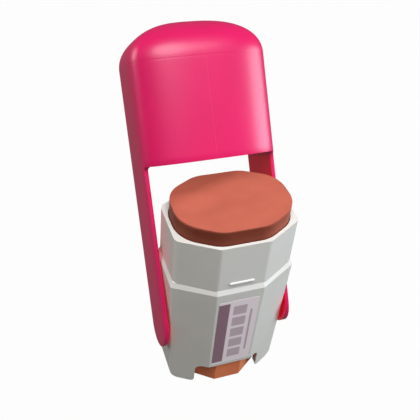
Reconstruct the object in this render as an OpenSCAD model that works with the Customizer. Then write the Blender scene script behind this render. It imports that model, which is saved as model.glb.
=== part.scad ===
// Twist-up blush stick with a swinging cap, opened, in millimetres.
// X runs to the right, Y to the back and Z up. The origin is on the surface
// that the case stands on, below the middle of the case.

/* [Case] */
// Width across the two narrow side flats, at the shoulder
case_w = 33.8; // [33:0.2:36]
// Depth from the front facet to the back facet, at the shoulder
case_d = 26.0; // [25.2:0.2:28]
// Width of each narrow side flat
side_flat_w = 14.0; // [12:0.5:15]
// Width of the front facet and of the back facet
front_flat_w = 13.0; // [10:0.5:15]
// Height of the shoulder, where the collar's foot meets the sloped ledge
shoulder_z = 40.0; // [38:0.5:46]
// Height of the collar above the shoulder
collar_h = 14.2; // [12:0.5:18]
// How far the collar's facets stand back from those of the lower case
collar_inset = 0.6; // [0.5:0.1:1]
// Height of the sloped ledge between the lower case and the collar
ledge_h = 1.4; // [1:0.1:2]
// How much narrower the lower case is at its foot, on each side
case_draft = 1.0; // [0.4:0.1:1.2]
// Radius of the vertical edges between the facets of the lower case
edge_r = 0.7; // [0.3:0.1:1.2]
// Radius of the vertical edges between the facets of the collar
collar_edge_r = 2.2; // [1:0.2:3]
// Radius of the lower outer corners of the two feet, seen from the front
foot_corner_r = 2.4; // [2:0.2:5]
// Thinnest wall around the collar's opening
collar_wall = 0.85; // [0.75:0.05:1.2]
// Radius of the upright corners of that opening
bore_edge_r = 8.5; // [6:0.5:9.5]

/* [Notch and floor] */
// Width of the notch between the feet, at the front and at the back
notch_w = 19.2; // [17:0.2:21]
// Height of the notch above the surface that the case stands on
notch_h = 8.0; // [6:0.1:9]
// Radius of the notch's upper corners
notch_corner_r = 2.2; // [0.5:0.1:3]
// Radius of the inner lower corner of each foot
foot_inner_r = 1.6; // [1:0.1:2.2]
// How far that corner's circle reaches below the surface the case stands on
foot_inner_drop = 0.2; // [0.1:0.05:0.3]
// Thickness of the floor that carries the dial
floor_t = 2.0; // [1.6:0.1:3]
// Wall left around the hollows on the underside of the feet
foot_wall = 1.3; // [1:0.1:1.6]

/* [Snap ridges] */
// Length of the short ridge on the collar's front facet and back facet
ridge_len = 6.0; // [4:0.5:9]
// Radius of the ridge's half-round section
ridge_r = 0.45; // [0.3:0.05:0.6]
// Height of the ridge above the shoulder
ridge_rise = 1.7; // [1.2:0.1:3]
// How deep the ridge's axis lies below the facet it stands on
ridge_sink = 0.1; // [0.05:0.05:0.2]

/* [Hinge] */
// Height of the hinge line, where the round bosses stand on the side flats
hinge_z = 20.0; // [18:0.5:24]
// Radius of each boss
boss_r = 2.2; // [1.8:0.1:2.6]
// How far each boss reaches into the groove of the cap's arm
boss_reach = 0.75; // [0.6:0.05:0.85]
// Clearance between a boss and the sides of its groove
boss_clear = 0.05; // [0.03:0.01:0.1]
// Gap between a side flat at the shoulder and the inner face of an arm
arm_gap = 0.2; // [0.15:0.05:0.5]
// How far the cap is swung back, as the object is shown
cap_tilt = 34; // [0:1:60]

/* [Cap] */
// Thickness of each arm
arm_t = 1.6; // [1.5:0.1:2.2]
// Width of each arm, which is also the diameter of its round end
arm_w = 16.8; // [14:0.2:17.4]
// Distance from the hinge line to the cap's rim between the arms
rim_dist = 42.0; // [41:0.5:48]
// Height of the cap's straight wall above that rim
cap_wall_h = 26.2; // [22:0.5:32]
// Height of the dome above the straight wall
dome_h = 10.6; // [8:0.2:14]
// Thickness of the cap's wall at the front and back
cap_wall = 1.2; // [1.1:0.1:1.6]
// Gap between the cap's wall and the facets of the lower case, seen from above
cap_gap = 0.2; // [0.2:0.1:1]
// Roundness of the cap's oval, where 2 is an ellipse
cap_power = 3.0; // [2.6:0.1:3.4]
// Roundness of the dome's profile, where 2 is an ellipse
dome_power = 2.2; // [2:0.1:2.6]
// Radius of the corner between an arm and the rim
rim_corner_r = 1.2; // [0.6:0.1:2]
// How much wider than an arm the flat side of the cap is, at its front and back
flat_margin = 0.65; // [0.6:0.05:1]
// How far the cap is pushed down the case when it closes
closing_slide = 11.0; // [8:0.2:11.4]

/* [Dial and spindle] */
// Number of facets around the dial
dial_sides = 10; // [8:1:12]
// How far the dial's facets stand back from the front of the feet
dial_inset = 0.45; // [0.4:0.05:1]
// Gap under the dial, and between the dial and the floor above it
dial_gap = 0.3; // [0.2:0.05:0.4]
// Size of the bevel on the dial's lower edge
dial_bevel = 0.3; // [0.2:0.1:0.8]
// Wall and roof left around the hollow under the dial
dial_wall = 1.6; // [1.2:0.1:2]
// Radius of the neck that turns in the floor
neck_r = 4.0; // [3.8:0.1:4.6]
// Clearance around the neck and around the spindle
turn_clear = 0.08; // [0.05:0.01:0.1]
// Height and overhang of the snap flange above the floor
flange_size = 1.1; // [0.8:0.1:1.4]
// Radius of the spindle that drives the carrier
spindle_r = 2.9; // [2.4:0.1:3.2]
// Depth of the spindle's top below the collar's rim
spindle_drop = 8.5; // [7:0.5:12]

/* [Carrier and blush] */
// Clearance between the carrier and the case's bore
carrier_clear = 0.3; // [0.25:0.05:0.4]
// Wall and floor thickness of the carrier's cup
carrier_wall = 0.8; // [0.7:0.1:1]
// Height of the carrier's cup
cup_h = 7.0; // [5:0.5:9]
// Wall of the hub that runs on the spindle
hub_wall = 1.2; // [1:0.1:1.6]
// Length of the hub below the cup
hub_drop = 3.5; // [2:0.5:4]
// How far the top of the blush stands above the collar's rim, as shown
blush_rise = 4.6; // [2:0.2:6]
// How far the top of the blush lies below the rim when it is wound down
blush_sunk = 1.0; // [0.5:0.1:2]
// Clearance between the blush and the case's bore
blush_clear = 0.25; // [0.2:0.05:0.5]
// Clearance between the spindle and the hollow up the middle of the blush
core_clear = 0.6; // [0.4:0.1:1]
// Depth of the shallow dish in the top of the blush
dish_depth = 0.35; // [0.1:0.05:0.6]

/* [Hidden] */

// Points around each oval, slices up the dome, and steps around each corner of the bore
oval_points = 96;
dome_slices = 8;
corner_steps = 10;
// Angle up the dome at which its flat crown starts
crown_at = 84;
// Thickness of a slice, the bite between solids of one piece, and what a cut runs past a face
slice_t = 0.06;
skin = 0.01;
cut = 1;

case_hw = case_w / 2;
case_hd = case_d / 2;
collar_hw = case_hw - collar_inset;
collar_hd = case_hd - collar_inset;
rim_z = shoulder_z + collar_h;
ledge_z = shoulder_z - ledge_h;
foot_hw = case_hw - case_draft;
foot_hd = case_hd - case_draft;

bore_hw = collar_hw - collar_wall;
bore_hd = collar_hd - collar_wall;
// Half widths of the collar's side flat and front facet, and where its diagonal facet faces
collar_side_hw = (side_flat_w - collar_inset) / 2;
collar_front_hw = front_flat_w / 2;
diagonal_at = atan2(collar_hw - collar_front_hw, collar_hd - collar_side_hw);
floor_z = notch_h;
bore_z = floor_z + floor_t;

dial_z = dial_gap;
dial_top = floor_z - dial_gap;
dial_apothem = foot_hd - dial_inset;
dial_r = dial_apothem / cos(180 / dial_sides);
pocket_r = dial_r + dial_gap;
neck_hole_r = neck_r + turn_clear;
flange_z = bore_z + dial_gap;
flange_r = neck_r + flange_size;
flange_top = flange_z + flange_size;
spindle_top = rim_z - spindle_drop;

blush_top = rim_z + blush_rise;
// The carrier is lowest when the blush is wound down, and hangs just clear of the flange there
hub_low = flange_top + dial_gap;
lift_shown = blush_rise + blush_sunk;
cup_z = hub_low + hub_drop + lift_shown;
blush_hw = bore_hw - blush_clear;
seat_z = cup_z + carrier_wall;
cup_top = cup_z + cup_h;
hub_bore_r = spindle_r + turn_clear;
core_r = spindle_r + core_clear;
core_top = spindle_top + lift_shown + core_clear;

arm_in = case_hw + arm_gap;
arm_out = arm_in + arm_t;
arm_hw = arm_w / 2;
cap_hd = case_hd + cap_gap + cap_wall;
cap_top = rim_dist + cap_wall_h + dome_h;
groove_r = boss_r + boss_clear;
groove_depth = boss_reach + boss_clear;
boss_tip = arm_in + boss_reach;

// A quarter of the bore's outline, moved in by a gap: two round corners with the diagonal between them
function bore_quarter(gap) = let (
    r = bore_edge_r - gap,
    side_y = collar_side_hw - (collar_wall + bore_edge_r) * tan(diagonal_at / 2),
    front_x = collar_front_hw - (collar_wall + bore_edge_r) * tan((90 - diagonal_at) / 2),
    side_x = bore_hw - bore_edge_r,
    front_y = bore_hd - bore_edge_r
) concat(
    [for (i = [0 : corner_steps]) let (t = diagonal_at * i / corner_steps)
        [side_x + r * cos(t), side_y + r * sin(t)]],
    [for (i = [0 : corner_steps]) let (t = diagonal_at + (90 - diagonal_at) * i / corner_steps)
        [front_x + r * cos(t), front_y + r * sin(t)]]
);

// Whole outline of the bore, or of a piece that runs in it with a gap all round
module bore_outline(gap) {
    quarter = bore_quarter(gap);
    last = len(quarter) - 1;
    polygon(concat(
        quarter,
        [for (i = [last : -1 : 0]) [-quarter[i].x, quarter[i].y]],
        [for (i = [0 : last]) [-quarter[i].x, -quarter[i].y]],
        [for (i = [last : -1 : 0]) [quarter[i].x, -quarter[i].y]]
    ));
}

// Outline that a superellipse formula gives, as points from +X round by way of +Y
function oval(hw, hd, power, count) = [
    for (i = [0 : count - 1])
        let (c = cos(360 * i / count), s = sin(360 * i / count))
            [hw * sign(c) * pow(abs(c), 2 / power), hd * sign(s) * pow(abs(s), 2 / power)]
];

// Half width at which a superellipse has to start so that its cut end at x = hw is 2 * flat_hw wide
function oval_reach(hw, hd, power, flat_hw) = hw / pow(1 - pow(flat_hw / hd, power), 1 / power);

// Eight-sided outline: narrow flats left and right, wide facets front and back
module eight_sides(hw, hd, side_w, front_w, r) {
    offset(r = r, $fn = 96)
        offset(delta = -r)
            polygon([
                [hw, side_w / 2], [front_w / 2, hd], [-front_w / 2, hd], [-hw, side_w / 2],
                [-hw, -side_w / 2], [-front_w / 2, -hd], [front_w / 2, -hd], [hw, -side_w / 2]
            ]);
}

// Lower case with its draft, drawn from the ledge down to the feet
module lower_solid() {
    translate([0, 0, ledge_z])
        mirror([0, 0, 1])
            linear_extrude(height = ledge_z, scale = [foot_hw / case_hw, foot_hd / case_hd])
                eight_sides(case_hw, case_hd, side_flat_w, front_flat_w, edge_r);
}

// Sloped ledge between the lower case and the collar
module ledge_solid() {
    translate([0, 0, ledge_z])
        linear_extrude(height = ledge_h, scale = [(collar_hw - skin) / case_hw, (collar_hd - skin) / case_hd])
            eight_sides(case_hw, case_hd, side_flat_w, front_flat_w, edge_r);
}

module collar_solid() {
    translate([0, 0, ledge_z])
        linear_extrude(height = rim_z - ledge_z)
            eight_sides(collar_hw, collar_hd, 2 * collar_side_hw, 2 * collar_front_hw, collar_edge_r);
}

// Front view of the case with its lower outer corners rounded
module front_profile() {
    translate([-case_hw - cut, foot_corner_r])
        square([case_w + 2 * cut, rim_z + cut]);
    hull()
        for (side = [-1, 1])
            translate([side * (foot_hw - foot_corner_r), foot_corner_r])
                circle(r = foot_corner_r, $fn = 48);
}

// Front view of the notch, with rounded upper corners and feet that flare out at the bottom
module notch_profile() {
    hw = notch_w / 2;
    union() {
        translate([-hw, -cut]) square([notch_w, notch_h - notch_corner_r + cut]);
        translate([-hw + notch_corner_r, -cut]) square([notch_w - 2 * notch_corner_r, notch_h + cut]);
        for (side = [-1, 1])
            translate([side * (hw - notch_corner_r), notch_h - notch_corner_r])
                circle(r = notch_corner_r, $fn = 32);
        for (side = [-1, 1])
            difference() {
                translate([side * (hw + foot_inner_r / 2), 0])
                    square([foot_inner_r + skin, 2 * (foot_inner_r - foot_inner_drop)], center = true);
                translate([side * (hw + foot_inner_r), foot_inner_r - foot_inner_drop])
                    circle(r = foot_inner_r, $fn = 32);
            }
    }
}

module notch_cut() {
    rotate([90, 0, 0])
        linear_extrude(height = case_d + 2 * cut, center = true)
            notch_profile();
}

// Hollows on the underside of the two feet, outside the round pocket of the dial
module foot_hollows() {
    translate([0, 0, -cut])
        linear_extrude(height = floor_z + cut)
            difference() {
                eight_sides(foot_hw - foot_wall, foot_hd - foot_wall,
                            side_flat_w - foot_wall, front_flat_w, edge_r);
                circle(r = pocket_r + foot_wall, $fn = 96);
                square([notch_w + 2 * foot_wall + 2 * foot_inner_r, case_d], center = true);
            }
}

module boss(side) {
    translate([side * (foot_hw - cut), 0, hinge_z])
        rotate([0, side * 90, 0])
            cylinder(r = boss_r, h = boss_tip - (foot_hw - cut), $fn = 64);
}

// Bar with rounded ends, sunk a little past its axis in the collar's facet
module snap_ridge(face) {
    half = ridge_len / 2;
    outline = concat(
        [for (t = [-90 : 15 : 0]) [ridge_r * cos(t), ridge_r * sin(t) - half]],
        [for (t = [0 : 15 : 90]) [ridge_r * cos(t), ridge_r * sin(t) + half]]
    );
    translate([0, face * (collar_hd - ridge_sink), shoulder_z + ridge_rise])
        rotate([0, 90, 0])
            rotate_extrude($fn = 32)
                polygon(outline);
}

module case() {
    color("whitesmoke")
        difference() {
            union() {
                intersection() {
                    union() {
                        lower_solid();
                        ledge_solid();
                        collar_solid();
                    }
                    rotate([90, 0, 0])
                        linear_extrude(height = case_d + 2 * cut, center = true)
                            front_profile();
                }
                for (side = [-1, 1]) boss(side);
                for (face = [-1, 1]) snap_ridge(face);
            }
            translate([0, 0, bore_z])
                linear_extrude(height = rim_z - bore_z + cut)
                    bore_outline(0);
            translate([0, 0, -cut]) cylinder(r = pocket_r, h = floor_z + cut, $fn = 96);
            translate([0, 0, floor_z - cut]) cylinder(r = neck_hole_r, h = floor_t + 2 * cut, $fn = 64);
            notch_cut();
            foot_hollows();
        }
}

module dial() {
    hollow_r = dial_apothem - dial_wall;
    color("peru")
        difference() {
            union() {
                translate([0, 0, dial_z])
                    cylinder(r1 = dial_r - dial_bevel, r2 = dial_r, h = dial_bevel, $fn = dial_sides);
                translate([0, 0, dial_z + dial_bevel])
                    cylinder(r = dial_r, h = dial_top - dial_z - dial_bevel, $fn = dial_sides);
                translate([0, 0, dial_top - skin])
                    cylinder(r = neck_r, h = flange_z - dial_top + 2 * skin, $fn = 64);
                translate([0, 0, flange_z])
                    cylinder(r1 = flange_r, r2 = spindle_r, h = flange_size, $fn = 64);
                translate([0, 0, flange_z])
                    cylinder(r = spindle_r, h = spindle_top - flange_z, $fn = 64);
            }
            translate([0, 0, dial_z - cut])
                cylinder(r = hollow_r, h = dial_top - dial_z - dial_wall + cut, $fn = 64);
        }
}

module carrier() {
    color("white")
        difference() {
            union() {
                translate([0, 0, cup_z])
                    linear_extrude(height = cup_h)
                        bore_outline(carrier_clear);
                translate([0, 0, cup_z - hub_drop])
                    cylinder(r = hub_bore_r + hub_wall, h = hub_drop + skin, $fn = 64);
            }
            translate([0, 0, seat_z])
                linear_extrude(height = cup_h)
                    bore_outline(carrier_clear + carrier_wall);
            translate([0, 0, cup_z - hub_drop - cut])
                cylinder(r = hub_bore_r, h = hub_drop + carrier_wall + 2 * cut, $fn = 64);
        }
}

// Blush, with its foot in the carrier's cup and a hollow for the spindle
module blush() {
    dish_r = (pow(blush_hw, 2) + pow(dish_depth, 2)) / (2 * dish_depth);
    color("indianred")
        difference() {
            union() {
                translate([0, 0, seat_z])
                    linear_extrude(height = cup_h - carrier_wall)
                        bore_outline(carrier_clear + carrier_wall);
                translate([0, 0, cup_top])
                    linear_extrude(height = blush_top - cup_top)
                        bore_outline(blush_clear);
            }
            translate([0, 0, seat_z - cut])
                cylinder(r = core_r, h = core_top - seat_z + cut, $fn = 64);
            translate([0, 0, blush_top + dish_r - dish_depth])
                rotate([90, 0, 0])
                    cylinder(r = dish_r, h = case_d, center = true, $fn = 256);
        }
}

// Solid of the cap's outline from a height up over the dome, with walls moved in by inset_x and inset_y
module cap_form(from_z, inset_x, inset_y) {
    hw = arm_out - inset_x;
    hd = cap_hd - inset_y;
    reach = oval_reach(arm_out, cap_hd, cap_power, arm_hw + flat_margin) - inset_x;
    rise = dome_h - inset_y;
    spring = rim_dist + cap_wall_h;
    hull() {
        translate([0, 0, from_z])
            linear_extrude(height = slice_t)
                intersection() {
                    polygon(oval(reach, hd, cap_power, oval_points));
                    square([2 * hw, 2 * (hd + cut)], center = true);
                }
        for (i = [0 : dome_slices])
            let (t = crown_at * i / dome_slices, f = pow(cos(t), 2 / dome_power))
                translate([0, 0, spring + rise * pow(sin(t), 2 / dome_power) - slice_t])
                    linear_extrude(height = slice_t)
                        intersection() {
                            polygon(oval(reach * f, hd * f, cap_power, oval_points));
                            square([2 * hw * f, 2 * (hd + cut)], center = true);
                        }
    }
}

// Side view of the cap: the wall above the rim, and one arm with its round end about the hinge line
module side_profile() {
    translate([-cap_hd - cut, rim_dist]) square([2 * (cap_hd + cut), cap_top - rim_dist + cut]);
    translate([-arm_hw, 0]) square([arm_w, rim_dist + cut]);
    circle(r = arm_hw, $fn = 72);
    for (face = [-1, 1])
        translate([face * (arm_hw + rim_corner_r), rim_dist - rim_corner_r])
            difference() {
                translate([-face * rim_corner_r / 2, rim_corner_r / 2])
                    square(rim_corner_r + 2 * skin, center = true);
                circle(r = rim_corner_r, $fn = 32);
            }
}

// Blind groove in an arm's inner face, round at both ends, in which the boss turns and slides
module groove(side) {
    translate([side * (arm_in + groove_depth / 2), 0, 0]) {
        translate([0, 0, closing_slide / 2])
            cube([groove_depth, 2 * groove_r, closing_slide], center = true);
        for (end_z = [0, closing_slide])
            translate([0, 0, end_z])
                rotate([0, 90, 0])
                    cylinder(r = groove_r, h = groove_depth, center = true, $fn = 64);
    }
}

// Shell of the cap with its two arms, standing upright about the hinge line
module cap_shell() {
    intersection() {
        difference() {
            cap_form(-arm_hw - cut, 0, 0);
            cap_form(-arm_hw - 2 * cut, arm_t, cap_wall);
        }
        rotate([90, 0, 90])
            linear_extrude(height = 2 * (arm_out + cut), center = true)
                side_profile();
    }
}

// Cap at its overall size, with the grooves cut, and swung back as shown
module cap() {
    color("deeppink")
        translate([0, 0, hinge_z])
            rotate([-cap_tilt, 0, 0])
                difference() {
                    resize([2 * arm_out, 2 * cap_hd, cap_top + arm_hw]) cap_shell();
                    for (side = [-1, 1]) groove(side);
                }
}

case();
dial();
carrier();
blush();
cap();
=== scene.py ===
"""Looks of the twist-up blush stick: cap, case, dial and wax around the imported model."""

import logging
import math
from dataclasses import dataclass, field
from enum import Enum
from typing import Any, Optional, Sequence, Union

import bmesh
import bpy
import numpy as np
from mathutils import Matrix

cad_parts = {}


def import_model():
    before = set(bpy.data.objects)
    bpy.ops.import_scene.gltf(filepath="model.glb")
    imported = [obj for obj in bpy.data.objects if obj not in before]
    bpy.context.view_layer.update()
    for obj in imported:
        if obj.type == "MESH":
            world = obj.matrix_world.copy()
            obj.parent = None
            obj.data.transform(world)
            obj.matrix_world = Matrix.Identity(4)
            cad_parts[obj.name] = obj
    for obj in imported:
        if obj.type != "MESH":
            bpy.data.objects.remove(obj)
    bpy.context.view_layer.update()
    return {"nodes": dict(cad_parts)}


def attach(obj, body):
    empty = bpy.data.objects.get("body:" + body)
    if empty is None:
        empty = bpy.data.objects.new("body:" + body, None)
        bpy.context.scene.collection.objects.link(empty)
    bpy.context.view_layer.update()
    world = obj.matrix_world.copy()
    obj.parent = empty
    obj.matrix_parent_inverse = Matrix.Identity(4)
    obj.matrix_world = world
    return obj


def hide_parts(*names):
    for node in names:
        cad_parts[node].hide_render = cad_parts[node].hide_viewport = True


LOG = logging.getLogger("blush_stick")
MM = 0.001
PER_METRE = 1000.0
IMAGE_SIDE = 420
FLAT_COLUMNS = 17  # from the middle of an arm to its edge
CORNER_COLUMNS = 7  # round the corner between arm and rim
BEND_COLUMNS = 26  # along the curved wall, to the middle of the front
WALL_ROWS = 15
DOME_ROWS = 30
ARM_ROWS = 21
TURN_POINTS = 65  # once round a groove
Colour = tuple[float, float, float]


class Form(Enum):
    """Sides of a moulded wall that a surface belongs to."""

    OUTER = "outer"
    INNER = "inner"


# ---------------------------------------------------------------- shader maths


class Signal:
    """A node socket that takes part in Python arithmetic."""

    def __init__(self, book: "NodeBook", socket: bpy.types.NodeSocket) -> None:
        """Keeps the book that adds nodes and the socket that holds the value.

        Args:
            book: The material's node book.
            socket: The output socket that this signal stands for.
        """
        self.book = book
        self.socket = socket

    def _maths(self, operation: str, *values: "Value", clamp: bool = False) -> "Signal":
        """Adds one Math node and returns its result."""
        sockets = dict(enumerate(values))
        settings = {"operation": operation, "use_clamp": clamp}
        return self.book.node("ShaderNodeMath", settings, sockets)

    def __add__(self, other: "Value") -> "Signal":
        """Sum."""
        return self._maths("ADD", self, other)

    __radd__ = __add__

    def __sub__(self, other: "Value") -> "Signal":
        """Difference."""
        return self._maths("SUBTRACT", self, other)

    def __rsub__(self, other: "Value") -> "Signal":
        """Difference with the signal on the right."""
        return self._maths("SUBTRACT", other, self)

    def __mul__(self, other: "Value") -> "Signal":
        """Product."""
        return self._maths("MULTIPLY", self, other)

    __rmul__ = __mul__

    def __abs__(self) -> "Signal":
        """Size without sign."""
        return self._maths("ABSOLUTE", self)

    def at_least(self, other: "Value") -> "Signal":
        """The larger of two values."""
        return self._maths("MAXIMUM", self, other)

    def clamped(self) -> "Signal":
        """The value held between 0 and 1."""
        return self._maths("ADD", self, 0.0, clamp=True)

    def ramp(self, low: float, high: float) -> "Signal":
        """0 at low and 1 at high, with a soft S between them."""
        return self.book.node(
            "ShaderNodeMapRange",
            {"interpolation_type": "SMOOTHSTEP"},
            {"Value": self, "From Min": low, "From Max": high, "To Min": 0.0, "To Max": 1.0},
        )


Value = Union[Signal, float, int]


class NodeBook:
    """Builds one material's nodes."""

    def __init__(self, name: str) -> None:
        """Makes an empty material with a Principled shader.

        Args:
            name: The material's name.
        """
        self.material = bpy.data.materials.new(name)
        self.material.use_nodes = True
        self.tree = self.material.node_tree
        self.tree.nodes.clear()
        self.output = self.tree.nodes.new("ShaderNodeOutputMaterial")
        self.shader = self.tree.nodes.new("ShaderNodeBsdfPrincipled")
        self.tree.links.new(self.shader.outputs[0], self.output.inputs["Surface"])
        self._place: Optional[Signal] = None

    def plug(self, socket: bpy.types.NodeSocket, value: Any) -> None:
        """Sets a socket to a number or colour, or links a signal to it."""
        if isinstance(value, Signal):
            self.tree.links.new(value.socket, socket)
        elif isinstance(value, (tuple, list)) and len(value) == 3 and socket.type == "RGBA":
            socket.default_value = (*value, 1.0)
        else:
            socket.default_value = value

    def node(
        self,
        kind: str,
        settings: Optional[dict] = None,
        sockets: Optional[dict] = None,
        out: Any = 0,
    ) -> Signal:
        """Adds any node.

        Args:
            kind: Blender's type name.
            settings: Attributes that are set first.
            sockets: Values or signals by socket name or number.
            out: Name or number of the output that is wanted.

        Returns:
            The output as a signal.
        """
        made = self.tree.nodes.new(kind)
        for key, value in (settings or {}).items():
            setattr(made, key, value)
        for key, value in (sockets or {}).items():
            self.plug(made.inputs[key], value)
        return Signal(self, made.outputs[out])

    def place(self) -> Signal:
        """Object coordinates, in metres."""
        if self._place is None:
            self._place = self.node("ShaderNodeTexCoord", out="Object")
        return self._place

    def axes(self) -> tuple[Signal, Signal, Signal]:
        """Object X, Y and Z as three signals, in millimetres."""
        split = self.tree.nodes.new("ShaderNodeSeparateXYZ")
        self.plug(split.inputs[0], self.place())
        x, y, z = (Signal(self, socket) * PER_METRE for socket in split.outputs)
        return x, y, z

    def noise(
        self, per_mm: float, detail: float = 2.0, stretch: Sequence[float] = (1, 1, 1)
    ) -> Signal:
        """Smooth noise from 0 to 1.

        Args:
            per_mm: Waves in a millimetre.
            detail: Octaves.
            stretch: Factor on the scale along each axis.

        Returns:
            The noise's value.
        """
        factors = {0: self.place(), 1: tuple(stretch)}
        spread = self.node("ShaderNodeVectorMath", {"operation": "MULTIPLY"}, factors)
        sockets = {"Vector": spread, "Scale": per_mm * PER_METRE, "Detail": detail}
        return self.node("ShaderNodeTexNoise", None, sockets)

    def mix(self, amount: Value, low: Union[Signal, Colour], high: Union[Signal, Colour]) -> Signal:
        """Colour between low, at 0, and high, at 1."""
        made = self.tree.nodes.new("ShaderNodeMix")
        made.data_type = "RGBA"
        self.plug(made.inputs["Factor"], amount)
        for key, value in ((6, low), (7, high)):
            self.plug(made.inputs[key], value)
        return Signal(self, made.outputs[2])

    def bump(self, height: Signal, strength: float, depth_mm: float) -> None:
        """Feeds a height, from 0 to 1, to the shader's normal.

        Args:
            height: Height over the surface.
            strength: Share of the effect.
            depth_mm: Depth of a height of 1.
        """
        sockets = {"Height": height, "Strength": strength, "Distance": depth_mm * MM}
        bumped = self.node("ShaderNodeBump", None, sockets, "Normal")
        self.plug(self.shader.inputs["Normal"], bumped)

    def set(self, **sockets: Any) -> None:
        """Sets the shader's sockets, whose names have _ for a space."""
        for key, value in sockets.items():
            self.plug(self.shader.inputs[key.replace("_", " ")], value)


# -------------------------------------------------------------------- finishes


@dataclass(frozen=True)
class MouldedPlastic:
    """Gloss or satin moulded plastic with a faint flow of colour and a soft texture."""

    name: str
    colour: Colour
    shade: Colour
    roughness: float
    grain_mm: float = 0.25
    grain_depth: float = 0.01
    coat: float = 0.0
    coat_roughness: float = 0.12
    specular: float = 0.5

    def make(self) -> bpy.types.Material:
        """Builds the node material.

        Returns:
            The material.
        """
        book = NodeBook(self.name)
        flow = book.noise(0.06, 3.0)
        fine = book.noise(1.0 / self.grain_mm, 2.0)
        book.set(
            Base_Color=book.mix(flow.ramp(0.35, 0.7), self.colour, self.shade),
            Roughness=self.roughness + 0.05 * (flow - 0.5) + 0.04 * (fine - 0.5),
            Coat_Weight=self.coat,
            Coat_Roughness=self.coat_roughness,
            Specular_IOR_Level=self.specular,
        )
        book.bump(fine, 0.35, self.grain_depth)
        return book.material


@dataclass(frozen=True)
class CapPlastic:
    """Satin pink cap, with the mould's line down its front and a step round the dome's foot. The
    arms' inner faces carry painted light: a brighter crimson base and a faint red glow.

    Sizes are in mm; up and front are measured in the tilted cap, from the hinge line.
    """

    name: str = "cap_pink"
    colour: Colour = (0.68, 0.006, 0.120)
    shade: Colour = (0.60, 0.005, 0.100)
    # Brighter crimson on the arms' inner faces: painted bounce light.
    inner: Colour = (0.90, 0.003, 0.040)
    # Emission on the arms' inner faces: a painted glow that stands in for light through the
    # plastic.
    through: Colour = (0.14, 0.0, 0.006)
    roughness: float = 0.42
    specular: float = 0.45
    specular_tint: Colour = (1.0, 0.80, 1.0)
    coat: float = 0.35
    coat_roughness: float = 0.28
    inner_x: float = 17.1
    inner_up: tuple[float, float] = (40.0, 42.0)
    seam_x: tuple[float, float] = (0.05, 0.16)
    seam_front: tuple[float, float] = (10.0, 12.0)
    step_up: tuple[float, float] = (0.08, 0.3)
    hinge_z: float = 20.0
    tilt: float = math.radians(34.0)
    dome_up: float = 68.2
    texture_mm: float = 0.05

    def make(self) -> bpy.types.Material:
        """Builds the node material.

        Returns:
            The material.
        """
        book = NodeBook(self.name)
        x, y, z = book.axes()
        up = y * math.sin(self.tilt) + (z - self.hinge_z) * math.cos(self.tilt)
        front = (z - self.hinge_z) * math.sin(self.tilt) - y * math.cos(self.tilt)
        seam = (1.0 - abs(x).ramp(*self.seam_x)) * front.ramp(*self.seam_front)
        step = 1.0 - abs(up - self.dome_up).ramp(*self.step_up)
        fine = book.noise(3.0, 2.0)
        flow = book.noise(0.05, 3.0, (1, 1, 0.4))
        between = 1.0 - abs(x).ramp(self.inner_x, self.inner_x + 0.3)
        # Mask of the arms' inner faces, which get the painted light: the brighter crimson and the
        # glow.
        painted_light_faces = between * (1.0 - up.ramp(*self.inner_up))
        outside = book.mix(flow.ramp(0.3, 0.75), self.colour, self.shade)
        book.set(
            Base_Color=book.mix(painted_light_faces, outside, self.inner),
            Roughness=self.roughness + 0.05 * (flow - 0.5) + 0.05 * (fine - 0.5),
            Specular_IOR_Level=self.specular,
            Specular_Tint=self.specular_tint,
            Coat_Weight=self.coat,
            Coat_Roughness=self.coat_roughness,
            # Painted glow: the arms' inner faces emit a faint red, though they are no lamp.
            Emission_Color=book.mix(painted_light_faces, (0.0, 0.0, 0.0), self.through),
            Emission_Strength=1.0,
        )
        book.bump(0.12 * fine + 0.55 * seam - 0.5 * step, 0.8, self.texture_mm)
        return book.material


@dataclass(frozen=True)
class WaxFinish:
    """Blush wax: satin top with faint smears and a painted shadow of the cap over its back, and a
    side below its edge darkened with painted shade, lighter towards +x as painted light.
    """

    name: str = "blush_wax"
    colour: Colour = (0.50, 0.128, 0.086)
    # Darker colour for the smears on the top, and for the painted shadow of the cap over the top's
    # back.
    smear_and_shadow: Colour = (0.32, 0.074, 0.048)
    # Side wall below the top's edge: dark with painted shade, and a lighter colour towards +x as
    # painted light.
    side: Colour = (0.22, 0.045, 0.024)
    side_painted_light: Colour = (0.36, 0.085, 0.050)
    top_z: float = 58.8
    edge_below: tuple[float, float] = (0.9, 0.4)
    # Painted shadow of the cap on the back-left of the top, growing along y - 0.4 x.
    painted_cap_shadow: tuple[float, float] = (4.0, 13.0)
    # Span in x over which the side lightens as painted light from the right lamp.
    painted_light_x: tuple[float, float] = (2.0, 13.0)
    roughness: float = 0.52
    specular: float = 0.2
    texture_mm: float = 0.06

    def make(self) -> bpy.types.Material:
        """Builds the node material.

        Returns:
            The material.
        """
        book = NodeBook(self.name)
        x, y, z = book.axes()
        smear = book.noise(0.07, 3.0, (0.8, 1.2, 1.0))
        fine = book.noise(1.6, 3.0)
        # Mask of the side wall below the top's edge, which takes the painted shade.
        side = 1.0 - z.ramp(*(self.top_z - below for below in self.edge_below))
        # Painted shadow of the cap: the top darkens towards its back-left, on top of the real
        # smears.
        painted_cap_shadow = (y - 0.4 * x).ramp(*self.painted_cap_shadow)
        top = book.mix((0.6 * smear.ramp(0.3, 0.75) + painted_cap_shadow).clamped(), self.colour, self.smear_and_shadow)
        # Side wall colour: painted shade, lightened towards +x as painted light.
        wall = book.mix(x.ramp(*self.painted_light_x), self.side, self.side_painted_light)
        book.set(
            Base_Color=book.mix(side, top, wall),
            Roughness=self.roughness + 0.1 * (smear - 0.5) + 0.08 * (fine - 0.5),
            Specular_IOR_Level=self.specular,
        )
        book.bump(0.7 * smear + 0.3 * fine, 0.4, self.texture_mm)
        return book.material


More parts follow.
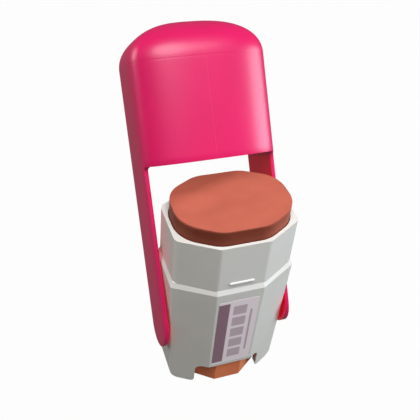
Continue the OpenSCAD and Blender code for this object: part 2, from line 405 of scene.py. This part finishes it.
@dataclass(frozen=True)
class PrintFinish:
    """Screen print on the front facet: a pale field with a darker bar, plain blocks and a line."""

    name: str = "front_print"
    field: Colour = (0.95, 0.87, 0.96)
    ink: Colour = (0.26, 0.14, 0.20)
    bar_x: tuple[float, float] = (-6.0, -2.5)
    bar_z: tuple[float, float] = (9.8, 34.8)
    block_x: tuple[float, float] = (-1.4, 2.4)
    block_middles: tuple[float, ...] = (13.2, 17.8, 22.4, 27.0, 31.6)
    block_half: float = 1.75
    line_x: tuple[float, float] = (3.5, 4.1)
    line_z: tuple[float, float] = (13.5, 31.0)
    ink_mm: float = 0.02

    def make(self) -> bpy.types.Material:
        """Builds the node material.

        Returns:
            The material.
        """
        book = NodeBook(self.name)
        x, _, z = book.axes()

        def span(v: Signal, low: float, high: float, soft: float = 0.08) -> Signal:
            """1 between low and high, with soft ends."""
            return v.ramp(low - soft, low + soft) * (1.0 - v.ramp(high - soft, high + soft))

        bar = span(x, *self.bar_x) * span(z, *self.bar_z)
        blocks: Value = 0.0
        for at in self.block_middles:
            one = span(z, at - self.block_half, at + self.block_half)
            blocks = one * span(x, *self.block_x) + blocks
        line = span(x, *self.line_x) * span(z, *self.line_z)
        ink = (bar + 0.55 * blocks + 0.6 * line).clamped()
        speck = book.noise(2.2, 2.0)
        book.set(
            Base_Color=book.mix(ink * (0.9 + 0.1 * speck), self.field, self.ink),
            Roughness=0.36 + 0.12 * ink,
            Specular_IOR_Level=0.5,
        )
        book.bump(0.5 * ink + 0.1 * speck, 0.5, self.ink_mm)
        return book.material


@dataclass(frozen=True)
class Backdrop:
    """Floor that the camera sees as white, gloss as a faint white, and light as its own colour."""

    name: str = "studio_floor"
    colour: Colour = (0.10, 0.094, 0.083)
    lift: float = 0.98
    in_gloss: float = 0.08

    def make(self) -> bpy.types.Material:
        """Builds the node material.

        Returns:
            The material.
        """
        book = NodeBook(self.name)
        book.set(Base_Color=self.colour, Roughness=0.9, Specular_IOR_Level=0.1)
        path = book.tree.nodes.new("ShaderNodeLightPath")
        rays = ("Camera", "Glossy", "Transmission")
        camera, glossy, through = (Signal(book, path.outputs[f"Is {ray} Ray"]) for ray in rays)
        seen = camera.at_least(through).at_least(glossy * self.in_gloss)
        white = book.node("ShaderNodeEmission", None, {"Color": (1.0, 1.0, 1.0), "Strength": 1.0})
        mixed = book.node(
            "ShaderNodeMixShader",
            None,
            {0: seen * self.lift, 1: Signal(book, book.shader.outputs[0]), 2: white},
        )
        book.tree.links.new(mixed.socket, book.output.inputs["Surface"])
        return book.material


# ---------------------------------------------------------------------- meshes


class Skin:
    """Collects grids of points, and welds them into one closed mesh."""

    def __init__(self) -> None:
        """Starts with no points and no faces."""
        self.points: list[np.ndarray] = []
        self.faces: list[np.ndarray] = []
        self.count = 0

    def sheet(self, grid: np.ndarray, flip: bool = False) -> None:
        """Adds a grid of points as four-cornered faces.

        Args:
            grid: Points in an array of rows, columns and 3.
            flip: Turns the faces round.
        """
        rows, columns = grid.shape[:2]
        index = np.arange(rows * columns).reshape(rows, columns) + self.count
        corners = [index[:-1, :-1], index[:-1, 1:], index[1:, 1:], index[1:, :-1]]
        quads = np.stack(corners, axis=-1).reshape(-1, 4)
        self.points.append(grid.reshape(-1, 3))
        self.faces.append(quads[:, ::-1] if flip else quads)
        self.count += rows * columns

    def weld(self, name: str, merge_mm: float = 0.002) -> bpy.types.Object:
        """Makes the object, with shared points merged and normals pointing out.

        Args:
            name: The object's name.
            merge_mm: Distance within which points are one.

        Returns:
            The object, linked to the scene.
        """
        mesh = bpy.data.meshes.new(name)
        points, faces = np.concatenate(self.points), np.concatenate(self.faces)
        mesh.from_pydata(points.tolist(), [], faces.tolist())
        work = bmesh.new()
        work.from_mesh(mesh)
        bmesh.ops.remove_doubles(work, verts=work.verts, dist=merge_mm * MM)
        bmesh.ops.dissolve_degenerate(work, edges=work.edges, dist=merge_mm * MM * 0.5)
        bmesh.ops.recalc_face_normals(work, faces=work.faces)
        open_edges = sum(1 for edge in work.edges if not edge.is_manifold)
        work.to_mesh(mesh)
        work.free()
        mesh.update()
        made = bpy.data.objects.new(name, mesh)
        bpy.context.scene.collection.objects.link(made)
        LOG.info("%s: %d faces, %d open edges", name, len(mesh.polygons), open_edges)
        return made


def round_edges(piece: bpy.types.Object, width_mm: float, steps: int, over_deg: float) -> None:
    """Rounds the piece's sharp edges and shades the rest smooth.

    Args:
        piece: The object.
        width_mm: Width of the rounding.
        steps: Faces across it.
        over_deg: Edges that turn by more than this are rounded.
    """
    work = bmesh.new()
    work.from_mesh(piece.data)
    limit = math.radians(over_deg)
    sharp = [e for e in work.edges if e.is_manifold and e.calc_face_angle(0.0) > limit]
    bmesh.ops.bevel(
        work,
        geom=sharp,
        offset=width_mm * MM,
        segments=steps,
        profile=0.5,
        affect="EDGES",
        clamp_overlap=True,
    )
    for face in work.faces:
        face.smooth = True
    for edge in work.edges:
        edge.smooth = not (edge.is_manifold and edge.calc_face_angle(0.0) > limit)
    work.to_mesh(piece.data)
    work.free()


def cut_out(piece: bpy.types.Object, tool: bpy.types.Object) -> None:
    """Takes the tool's solid out of the piece, and removes the tool."""
    step = piece.modifiers.new("cut", "BOOLEAN")
    step.operation = "DIFFERENCE"
    step.solver = "EXACT"
    step.object = tool
    bpy.context.view_layer.update()
    ready = piece.evaluated_get(bpy.context.evaluated_depsgraph_get())
    result = bpy.data.meshes.new_from_object(ready)
    piece.modifiers.clear()
    piece.data = result
    result.name = piece.name
    bpy.data.objects.remove(tool)


@dataclass
class CapShell:
    """Domed oval cap with two long flat arms, swung back about the hinge line; sizes in mm."""

    arm_out: float = 18.7
    arm_t: float = 1.6
    arm_hw: float = 8.4
    rim: float = 42.0
    wall_h: float = 26.2
    dome_h: float = 10.6
    depth: float = 14.4
    wall: float = 1.2
    power: float = 3.0
    dome_power: float = 2.2
    margin: float = 0.65
    corner_r: float = 1.2
    blend: float = 3.0
    hinge_z: float = 20.0
    tilt_deg: float = 34.0
    groove_r: float = 2.25
    groove_depth: float = 0.8
    groove_over: float = 0.6
    slide: float = 11.0
    edge_width: float = 0.16
    edge_steps: int = 2
    edge_over_deg: float = 32.0
    finish: CapPlastic = field(default_factory=CapPlastic)

    def swung(self, x: np.ndarray, v: np.ndarray, w: np.ndarray) -> np.ndarray:
        """Turns cap coordinates into the row frame, in metres.

        Args:
            x: Across, along the hinge line.
            v: From the front to the back of the upright cap.
            w: Up from the hinge line.

        Returns:
            Points in the row frame.
        """
        t = math.radians(self.tilt_deg)
        y = v * math.cos(t) + w * math.sin(t)
        z = self.hinge_z - v * math.sin(t) + w * math.cos(t)
        return np.stack([x, y, z], axis=-1) * MM

    def reach(self) -> float:
        """Half width of the oval before its two sides are cut flat."""
        share = 1.0 - ((self.arm_hw + self.margin) / self.depth) ** self.power
        return self.arm_out / share ** (1.0 / self.power)

    def quarter(self, form: Form) -> np.ndarray:
        """Depths v of the columns from the middle of a flat to the front's middle.

        The flat takes columns at sines of even angles, so that the arm's round end is even. The
        corner between arm and rim has even angles too, and so has the superellipse of the wall.

        Args:
            form: The outer or the inner wall.

        Returns:
            The depths, rising from 0 to the wall's half depth.
        """
        depth = self.depth - (self.wall if form is Form.INNER else 0.0)
        flat = self.arm_hw * np.sin(np.linspace(0.0, np.pi / 2, FLAT_COLUMNS))
        turn = np.linspace(0.0, np.pi / 2, CORNER_COLUMNS)[1:]
        corner = self.arm_hw + self.corner_r * (1.0 - np.cos(turn))
        start = math.asin(((self.arm_hw + self.corner_r) / depth) ** (self.power / 2))
        angles = np.linspace(start, np.pi / 2, BEND_COLUMNS)[1:]
        bend = depth * np.sin(angles) ** (2 / self.power)
        return np.concatenate([flat, corner, bend])

    def loop(self, form: Form) -> tuple[np.ndarray, np.ndarray, np.ndarray]:
        """Columns once round the cap.

        Args:
            form: The outer or the inner wall.

        Returns:
            Depth v of each column, and sign of x and number of the column in its quarter.
        """
        v = self.quarter(form)
        n = len(v)
        up, down = np.arange(n), np.arange(n - 1)[::-1]
        number = np.concatenate([up, down, up[1:], down])
        sign_v = np.concatenate([np.ones(n), np.ones(n - 1), -np.ones(n - 1), -np.ones(n - 1)])
        sign_x = np.concatenate([np.ones(n), -np.ones(n - 1), -np.ones(n - 1), np.ones(n - 1)])
        return v[number] * sign_v, sign_x, number

    def across(
        self, v: np.ndarray, sign_x: np.ndarray, scale: np.ndarray, form: Form
    ) -> np.ndarray:
        """Half width x at depth v: a superellipse cut flat at the arms' faces, eased outside.

        Where oval and flat differ by less than the blend, the outer wall is lowered by
        blend * h * (1 - h), with h the share of the way through the change. The inner wall keeps
        its edge, clear of the case.

        Args:
            v: Depth of each column at full size.
            sign_x: Side of each column.
            scale: Size of the section, 1 on the wall and less up the dome.
            form: The outer or the inner wall.

        Returns:
            The x of each column at each scale.
        """
        inset = (self.arm_t, self.wall) if form is Form.INNER else (0.0, 0.0)
        depth = self.depth - inset[1]
        share = np.clip(1.0 - (np.abs(v) / depth) ** self.power, 0.0, None) ** (1 / self.power)
        oval, flat = (self.reach() - inset[0]) * share, self.arm_out - inset[0]
        if form is Form.INNER:
            return sign_x * np.minimum(oval, flat) * scale
        h = np.clip(0.5 + 0.5 * (flat - oval) / self.blend, 0.0, 1.0)
        x = flat + (oval - flat) * h - self.blend * h * (1.0 - h)
        return sign_x * x * scale

    def wall_grid(self, form: Form) -> np.ndarray:
        """Wall and dome, from the rim up to the crown.

        Rows up the wall are even heights. Rows up the dome are even angles t, where the section
        shrinks as cos(t)^(2/p) while it rises as sin(t)^(2/p), with p the dome's roundness.

        Args:
            form: The outer or the inner wall.

        Returns:
            Points in rows from the rim to the crown.
        """
        v, sign_x, number = self.loop(form)
        rise = self.dome_h - (self.wall if form is Form.INNER else 0.0)
        top = self.rim + self.wall_h
        offset = np.clip(np.abs(v) - self.arm_hw, 0.0, self.corner_r)
        foot = self.rim - self.corner_r
        rounded = np.clip(self.corner_r**2 - (offset - self.corner_r) ** 2, 0, None)
        low = np.where(number < FLAT_COLUMNS, foot, foot + np.sqrt(rounded))
        steps = np.linspace(0.0, 1.0, WALL_ROWS)[:, None]
        walls = low + (top - low) * steps
        t = np.linspace(0.0, np.pi / 2, DOME_ROWS)[1:, None]
        scale = np.clip(np.cos(t), 0.0, None) ** (2 / self.dome_power)
        dome = np.broadcast_to(top + rise * np.sin(t) ** (2 / self.dome_power), (len(t), len(v)))
        full = np.concatenate([np.ones_like(steps), scale])
        w = np.concatenate([walls, dome])
        return self.swung(self.across(v, sign_x, full, form), v * full, w)

    def arm_grid(self, side: int, form: Form) -> np.ndarray:
        """One face of an arm, from its round end to the level of the rim's corners.

        The end's row is a half circle of the arm's half width about the hinge line.

        Args:
            side: -1 for the left arm and 1 for the right one.
            form: The outer or the inner face.

        Returns:
            Points in rows from the end up.
        """
        half = self.quarter(form)[:FLAT_COLUMNS]
        v = np.concatenate([-half[:0:-1], half])
        end = -np.sqrt(np.clip(self.arm_hw**2 - v**2, 0.0, None))
        x = self.across(v, np.full(len(v), float(side)), np.ones((1, 1)), form)
        w = end + (self.rim - self.corner_r - end) * np.linspace(0.0, 1.0, ARM_ROWS)[:, None]
        return self.swung(np.broadcast_to(x, w.shape), np.broadcast_to(v, w.shape), w)

    def groove_tool(self, side: int) -> bpy.types.Object:
        """Solid of the blind groove in an arm's inner face, round at both ends.

        Args:
            side: -1 for the left arm and 1 for the right one.

        Returns:
            The solid, which cut_out takes away.
        """
        turn = np.linspace(0.0, 2 * np.pi, TURN_POINTS)
        v = self.groove_r * np.cos(turn)
        w = self.groove_r * np.sin(turn) + np.where(np.sin(turn) > 0, self.slide, 0.0)
        inner = self.arm_out - self.arm_t
        reach, floor = inner - self.groove_over, inner + self.groove_depth
        x = side * np.array([reach, reach, floor, floor])
        size = np.array([0.0, 1.0, 1.0, 0.0])[:, None]
        middle = self.slide / 2
        across = np.broadcast_to(x[:, None], (len(x), TURN_POINTS))
        skin = Skin()
        skin.sheet(self.swung(across, v * size, middle + (w - middle) * size))
        return skin.weld(f"groove_tool_{side}")

    def build(self) -> bpy.types.Object:
        """Builds the cap, puts it in place of the CAD node and rides it on its body.

        Returns:
            The cap.
        """
        skin = Skin()
        outer, inner = self.wall_grid(Form.OUTER), self.wall_grid(Form.INNER)
        skin.sheet(outer)
        skin.sheet(inner, flip=True)
        _, _, number = self.loop(Form.OUTER)
        rim = np.stack([inner[0], outer[0]])
        last = FLAT_COLUMNS - 1
        edge = np.flatnonzero((number[:-1] >= last) & (number[1:] >= last))
        for run in np.split(edge, np.flatnonzero(np.diff(edge) > 1) + 1):
            skin.sheet(rim[:, run[0] : run[-1] + 2])
        for side in (-1, 1):
            faces = [self.arm_grid(side, form) for form in (Form.OUTER, Form.INNER)]
            skin.sheet(faces[0], flip=side < 0)
            skin.sheet(faces[1], flip=side > 0)
            skin.sheet(np.stack([faces[1][0], faces[0][0]]))
            for column in (0, -1):
                skin.sheet(np.stack([faces[1][:, column], faces[0][:, column]]))
        cap = skin.weld("cap_shell")
        for side in (-1, 1):
            cut_out(cap, self.groove_tool(side))
        round_edges(cap, self.edge_width, self.edge_steps, self.edge_over_deg)
        cap.data.materials.clear()
        cap.data.materials.append(self.finish.make())
        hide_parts("cap")
        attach(cap, "cap")
        return cap


@dataclass
class FrontPrint:
    """Thin screen print that follows the draft of the front facet; sizes in mm."""

    half_w: float = 5.6
    z_low: float = 9.0
    z_high: float = 35.6
    corner_r: float = 0.5
    foot_y: float = -12.0
    ledge_y: float = -13.0
    ledge_z: float = 38.6
    thick: float = 0.03
    finish: PrintFinish = field(default_factory=PrintFinish)

    def build(self) -> bpy.types.Object:
        """Builds the print as a thin film with rounded corners, on the case's front facet.

        Returns:
            The print.
        """
        turn = np.linspace(0.0, 2 * np.pi, 49)
        mid_z, half_h = (self.z_low + self.z_high) / 2, (self.z_high - self.z_low) / 2
        along, up = np.cos(turn), np.sin(turn)
        x = (self.half_w - self.corner_r) * np.sign(np.round(along, 6)) + self.corner_r * along
        z = mid_z + (half_h - self.corner_r) * np.sign(np.round(up, 6)) + self.corner_r * up
        size = np.array([0.0, 1.0, 1.0, 0.0])[:, None]
        gx, gz = x * size, mid_z + (z - mid_z) * size
        slope = (self.ledge_y - self.foot_y) / self.ledge_z
        off = np.array([-self.thick, -self.thick, self.thick, self.thick])[:, None]
        grid = np.stack([gx, self.foot_y + slope * gz + off, gz], axis=-1) * MM
        skin = Skin()
        skin.sheet(grid)
        film = skin.weld("front_print")
        film.data.materials.append(self.finish.make())
        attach(film, "case")
        return film


# ------------------------------------------------------------------------ stage


@dataclass
class PhotoCamera:
    """Camera at the photograph's viewing angle; place in mm and turns in radians."""

    place: tuple[float, float, float] = (-47.99, -106.0, 150.99)
    yaw: float = 0.382
    pitch: float = 0.6926
    roll: float = 0.0927
    focal_px: float = 600.6

    def build(self) -> bpy.types.Object:
        """Makes the camera and sets it as the scene's.

        Returns:
            The camera.
        """
        forward = np.array(
            [
                math.sin(self.yaw) * math.cos(self.pitch),
                math.cos(self.yaw) * math.cos(self.pitch),
                -math.sin(self.pitch),
            ]
        )
        level = np.array([math.cos(self.yaw), -math.sin(self.yaw), 0.0])
        above = np.cross(level, forward)
        right = math.cos(self.roll) * level + math.sin(self.roll) * above
        up = -math.sin(self.roll) * level + math.cos(self.roll) * above
        data = bpy.data.cameras.new("photo_camera")
        data.sensor_width = 36.0
        data.sensor_fit = "HORIZONTAL"
        data.lens = self.focal_px / IMAGE_SIDE * data.sensor_width
        data.clip_start = 0.005
        data.clip_end = 10.0
        made = bpy.data.objects.new("photo_camera", data)
        turn = Matrix((right, up, -forward)).transposed().to_4x4()
        turn.translation = [c * MM for c in self.place]
        made.matrix_world = turn
        bpy.context.scene.collection.objects.link(made)
        bpy.context.scene.camera = made
        return made


@dataclass(frozen=True)
class SoftLamp:
    """One round area lamp; place, target and size in mm, power in watts."""

    name: str
    place: tuple[float, float, float]
    target: tuple[float, float, float]
    size: float
    power: float
    colour: Colour = (1.0, 1.0, 1.0)

    def build(self) -> None:
        """Makes the lamp, turned to its target."""
        data = bpy.data.lights.new(self.name, "AREA")
        data.shape = "DISK"
        data.size = self.size * MM
        data.energy = self.power
        data.color = self.colour
        made = bpy.data.objects.new(self.name, data)
        made.location = [c * MM for c in self.place]
        aim = np.array(self.target) - np.array(self.place)
        level = np.cross(aim, (0.0, 0.0, 1.0))
        level /= np.linalg.norm(level)
        aim = aim / np.linalg.norm(aim)
        turn = Matrix((level, np.cross(level, aim), -aim)).transposed()
        made.rotation_euler = turn.to_euler()
        bpy.context.scene.collection.objects.link(made)


@dataclass
class Studio:
    """Floor, world and soft lamps; the world lights softly and is white to the camera."""

    floor_side: float = 1600.0
    world: float = 0.13
    tint: Colour = (1.0, 0.94, 0.84)
    lamps: tuple[SoftLamp, ...] = (
        SoftLamp("overhead", (-30, -150, 460), (0, 10, 40), 300, 2.05, (1.0, 0.975, 0.94)),
        SoftLamp("right", (415, -115, 165), (0, 5, 50), 280, 1.7, (0.91, 0.97, 1.0)),
        SoftLamp("left_back", (-360, 210, 170), (0, 5, 45), 240, 0.7, (1.0, 0.96, 0.90)),
    )

    def build(self) -> None:
        """Makes the floor, the lamps and the world."""
        side = self.floor_side / 2 * MM
        skin = Skin()
        line = np.linspace(-side, side, 3)
        gx, gy = np.meshgrid(line, line)
        skin.sheet(np.stack([gx, gy, np.zeros_like(gx)], axis=-1))
        floor = skin.weld("studio_floor")
        floor.data.materials.append(Backdrop().make())
        for lamp in self.lamps:
            lamp.build()
        world = bpy.data.worlds.new("studio_world")
        world.use_nodes = True
        tree = world.node_tree
        tree.nodes.clear()
        out = tree.nodes.new("ShaderNodeOutputWorld")
        soft, white = (tree.nodes.new("ShaderNodeBackground") for _ in range(2))
        soft.inputs["Strength"].default_value = self.world
        white.inputs["Strength"].default_value = 1.0
        for shade, colour in ((soft, self.tint), (white, (1.0, 1.0, 1.0))):
            shade.inputs["Color"].default_value = (*colour, 1.0)
        path, pick = tree.nodes.new("ShaderNodeLightPath"), tree.nodes.new("ShaderNodeMixShader")
        through = tree.nodes.new("ShaderNodeMath")
        through.operation = "MAXIMUM"
        for socket, ray in zip(through.inputs, ("Is Camera Ray", "Is Transmission Ray")):
            tree.links.new(path.outputs[ray], socket)
        tree.links.new(through.outputs[0], pick.inputs[0])
        tree.links.new(soft.outputs[0], pick.inputs[1])
        tree.links.new(white.outputs[0], pick.inputs[2])
        tree.links.new(pick.outputs[0], out.inputs["Surface"])
        bpy.context.scene.world = world
        bpy.context.scene.view_settings.view_transform = "Standard"


FINISHES: dict[str, Any] = {
    "case": MouldedPlastic("case_white", (0.76, 0.775, 0.77), (0.73, 0.74, 0.725), 0.22, coat=0.3),
    "dial": MouldedPlastic(
        "dial_terracotta",
        (0.84, 0.245, 0.11),
        (0.76, 0.21, 0.095),
        0.42,
        grain_depth=0.02,
        specular=0.3,
    ),
    "carrier": MouldedPlastic("carrier_white", (0.82, 0.82, 0.81), (0.79, 0.79, 0.78), 0.4),
    "blush": WaxFinish(),
}


def dress(nodes: dict[str, bpy.types.Object]) -> None:
    """Gives each carried-over CAD node its material.

    Args:
        nodes: The CAD nodes by name.
    """
    for name, finish in FINISHES.items():
        node = nodes[name]
        material = finish.make()
        for place in node.material_slots:
            place.material = material
        if not node.material_slots:
            node.data.materials.append(material)
        LOG.info("%s: carried over, finish %s", name, material.name)


def main() -> None:
    logging.basicConfig(level=logging.INFO, format="%(name)s: %(message)s")
    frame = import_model()
    dress(frame["nodes"])
    for part in (CapShell(), FrontPrint()):
        made = part.build()
        LOG.info("%s: %d faces", made.name, len(made.data.polygons))
    PhotoCamera().build()
    Studio().build()


if __name__ == "__main__":
    main()
